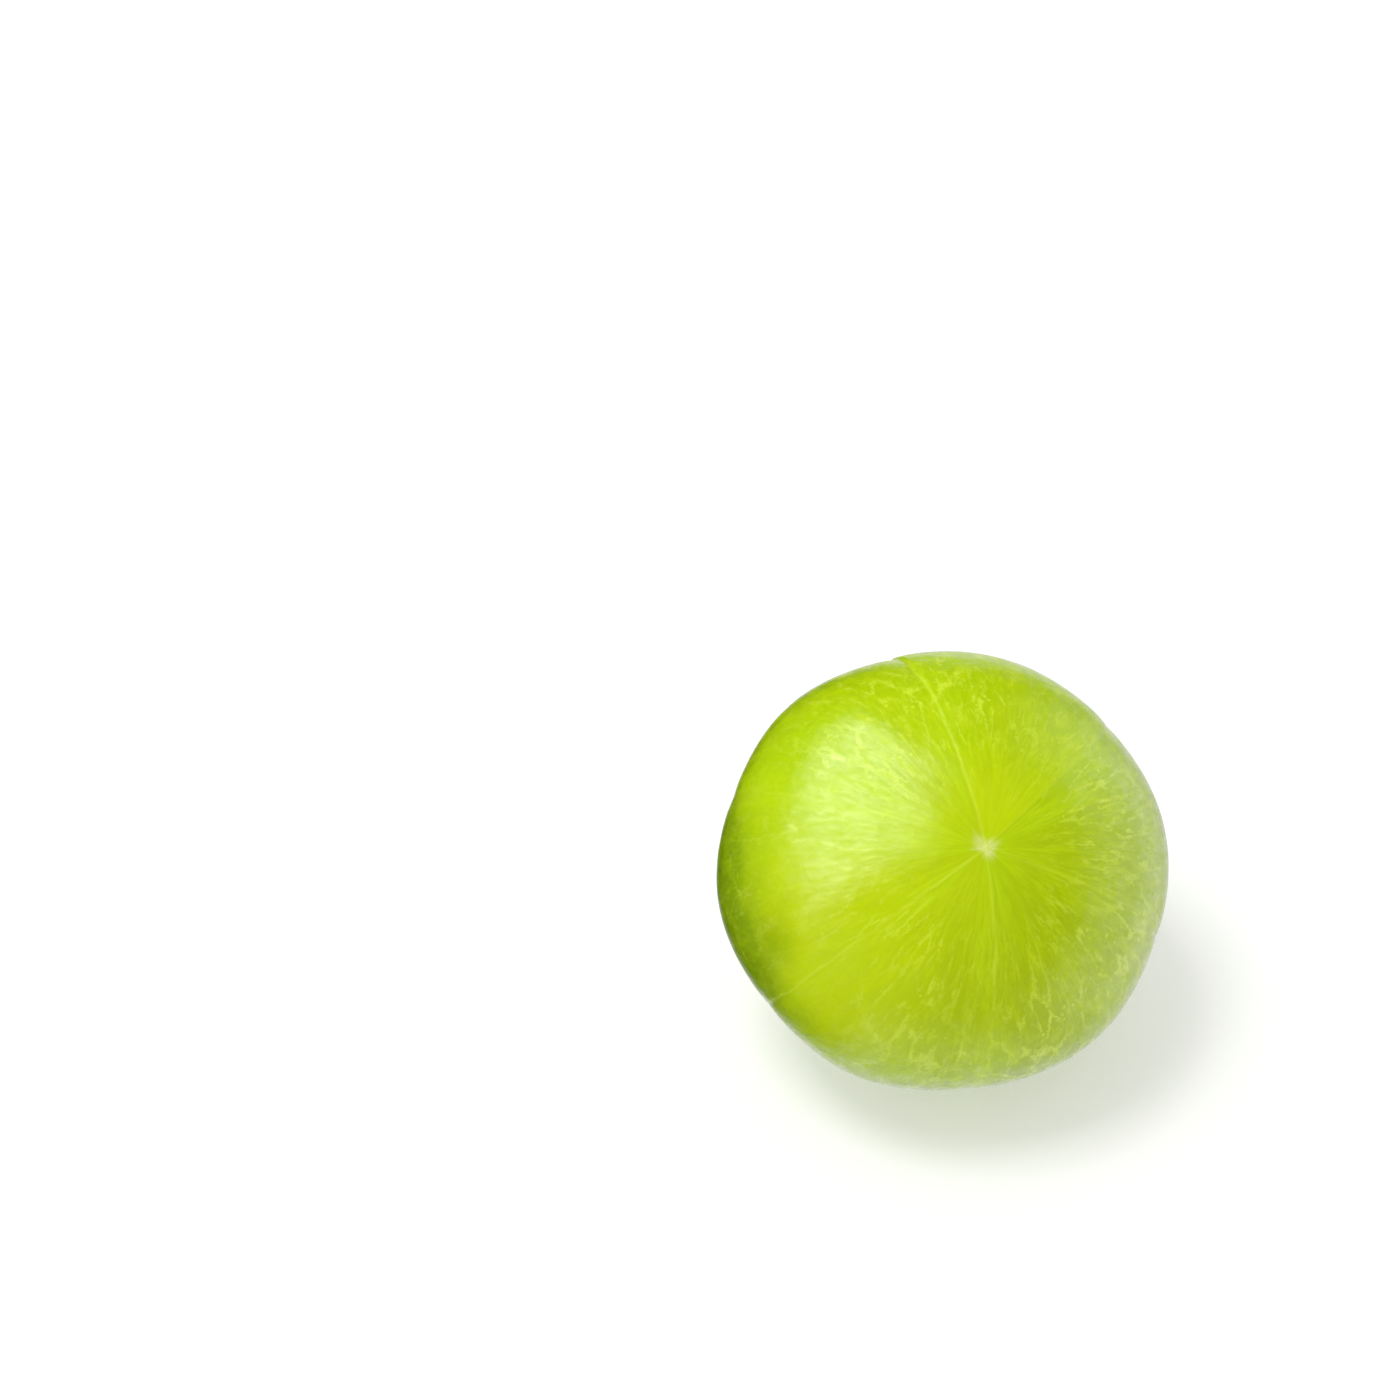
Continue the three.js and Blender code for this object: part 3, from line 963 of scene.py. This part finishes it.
def camera_axes():
    """The camera's right, up and back, in the row frame."""
    a, e = VIEW_AZIMUTH, VIEW_ELEVATION
    right = Vector((math.cos(a), math.sin(a), 0))
    back = Vector((math.sin(a) * math.cos(e), -math.cos(a) * math.cos(e), math.sin(e)))
    return right, back.cross(right), back


def make_camera():
    right, up, back = camera_axes()
    focal = IMAGE_SIZE * LENS_MM / SENSOR_MM
    to_fruit = Vector(
        (FRUIT_PIXEL[0] - IMAGE_SIZE / 2, IMAGE_SIZE / 2 - FRUIT_PIXEL[1], -focal)
    ).normalized()
    aim = to_fruit.rotation_difference(Vector((0, 0, -1))).to_matrix()
    turn = Matrix((right, up, back)).transposed() @ aim
    camera = bpy.data.objects.new("camera", bpy.data.cameras.new("camera"))
    camera.data.sensor_width = SENSOR_MM
    camera.data.lens = LENS_MM
    camera.data.clip_start = CLIP_START
    camera.data.dof.use_dof = False
    place = (centre_over_flat() + back * VIEW_DISTANCE) * MM
    camera.matrix_world = Matrix.Translation(place) @ turn.to_4x4()
    bpy.context.scene.collection.objects.link(camera)
    bpy.context.scene.camera = camera


def from_camera(direction):
    """A direction given as right, up and back of the camera, in the row frame."""
    right, up, back = camera_axes()
    return (right * direction[0] + up * direction[1] + back * direction[2]).normalized()


def make_key():
    """The soft lamp above the fruit and a little to its left, which throws its shadow."""
    lamp = bpy.data.lights.new("key", "AREA")
    lamp.shape = "SQUARE"
    lamp.size = KEY_SIZE
    lamp.energy = KEY_POWER
    key = bpy.data.objects.new("key", lamp)
    way = from_camera(KEY_DIRECTION)
    key.location = centre_over_flat() * MM + way * KEY_DISTANCE
    key.rotation_euler = way.to_track_quat("Z", "Y").to_euler()
    key.visible_camera = False
    key.visible_glossy = False
    bpy.context.scene.collection.objects.link(key)


def make_floor():
    """A pale floor that glows like a light table. Reflections don't see it."""
    low, high = -FLOOR_HALF, FLOOR_HALF
    square = [(low, low, 0), (high, low, 0), (high, high, 0), (low, high, 0)]
    floor = mesh_object("floor", square, [(0, 1, 2, 3)], smooth=False)
    g = Graph(bpy.data.materials.new("floor"))
    g.shader.inputs["Base Color"].default_value = (FLOOR_WHITE, FLOOR_WHITE, FLOOR_WHITE, 1)
    g.shader.inputs["Emission Color"].default_value = WHITE
    g.shader.inputs["Emission Strength"].default_value = FLOOR_GLOW
    g.shader.inputs["Roughness"].default_value = FLOOR_ROUGHNESS
    g.shader.inputs["Specular IOR Level"].default_value = FLOOR_SPECULAR
    floor.data.materials.append(g.owner)
    floor.visible_glossy = False


def reflected_light(g, way):
    """What a reflection sees: a window with soft edges, a reflector and a white sweep."""
    across = g.dot(way, from_camera(WINDOW_ACROSS))
    upward = g.dot(way, from_camera(WINDOW_UP))
    window = g.step(g.dot(way, from_camera(WINDOW_WAY)), *WINDOW_FRONT, 0.0, WINDOW_LIGHT)
    for (across_share, up_share), start, full in WINDOW_EDGES:
        inward = g.scaled_sum(across, across_share, g.product(upward, up_share))
        window = g.product(window, g.step(inward, start, full))
    right, up, back = camera_axes()
    reflector = g.product(
        g.step(g.dot(way, right), *REFLECTOR_RIGHT, 0.0, REFLECTOR_LIGHT),
        g.step(g.dot(way, -back), *REFLECTOR_AHEAD),
    )
    ahead = Vector((-math.sin(VIEW_AZIMUTH), math.cos(VIEW_AZIMUTH), 0))
    below = g.dot(way, ahead * SWEEP_RISE - right * SWEEP_LEFT - Vector((0, 0, 1)))
    sweep = g.product(
        g.step(below, *SWEEP_LOW, 0.0, SWEEP_LIGHT),
        g.step(g.dot(way, right - SWEEP_SLANT * up), *SWEEP_SIDE),
    )
    return g.math("ADD", window, g.math("MAXIMUM", reflector, sweep))


def make_world():
    """Soft light all round, rather more from the upper left, and what reflections see."""
    world = bpy.data.worlds.new("studio")
    world.use_nodes = True
    world.cycles.sampling_method = "NONE"
    g = Graph(world)
    way = g.tree.nodes.new("ShaderNodeTexCoord").outputs["Generated"]
    ambient = g.scaled_sum(g.dot(way, from_camera(AMBIENT_WAY)), AMBIENT_TILT, AMBIENT_LIGHT)
    glossy = g.tree.nodes.new("ShaderNodeLightPath").outputs["Is Glossy Ray"]
    strength = g.mix_value(glossy, ambient, reflected_light(g, way))
    g.put(g.tree.nodes["Background"].inputs["Strength"], strength)
    g.tree.nodes["Background"].inputs["Color"].default_value = WHITE
    bpy.context.scene.world = world


def make_studio():
    make_floor()
    make_key()
    make_world()
    bpy.context.scene.view_settings.view_transform = "Standard"


# ---------------------------------------------------------------- the part

# For each CAD node, how the piece that stands for it is made, its material and its slot
LOOKS = {
    "fruit": (make_fruit, skin_material, "skin"),
    "calyx": (make_sepals, sepal_material, "dry_calyx"),
    "stalk_stub": (make_stalk, stalk_material, "dry_stalk"),
}


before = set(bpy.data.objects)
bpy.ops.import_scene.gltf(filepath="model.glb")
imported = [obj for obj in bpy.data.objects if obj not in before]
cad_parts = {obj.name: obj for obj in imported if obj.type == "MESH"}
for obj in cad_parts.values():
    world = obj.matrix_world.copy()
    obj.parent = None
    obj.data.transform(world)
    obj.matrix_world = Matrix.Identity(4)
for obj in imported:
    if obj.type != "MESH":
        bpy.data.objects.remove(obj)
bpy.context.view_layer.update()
make_camera()
make_studio()
for node in sorted(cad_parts):
    make, finish, slot = LOOKS[node]
    piece = make()
    piece.data.materials.append(finish())
    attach(piece, "root")
    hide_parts(node)
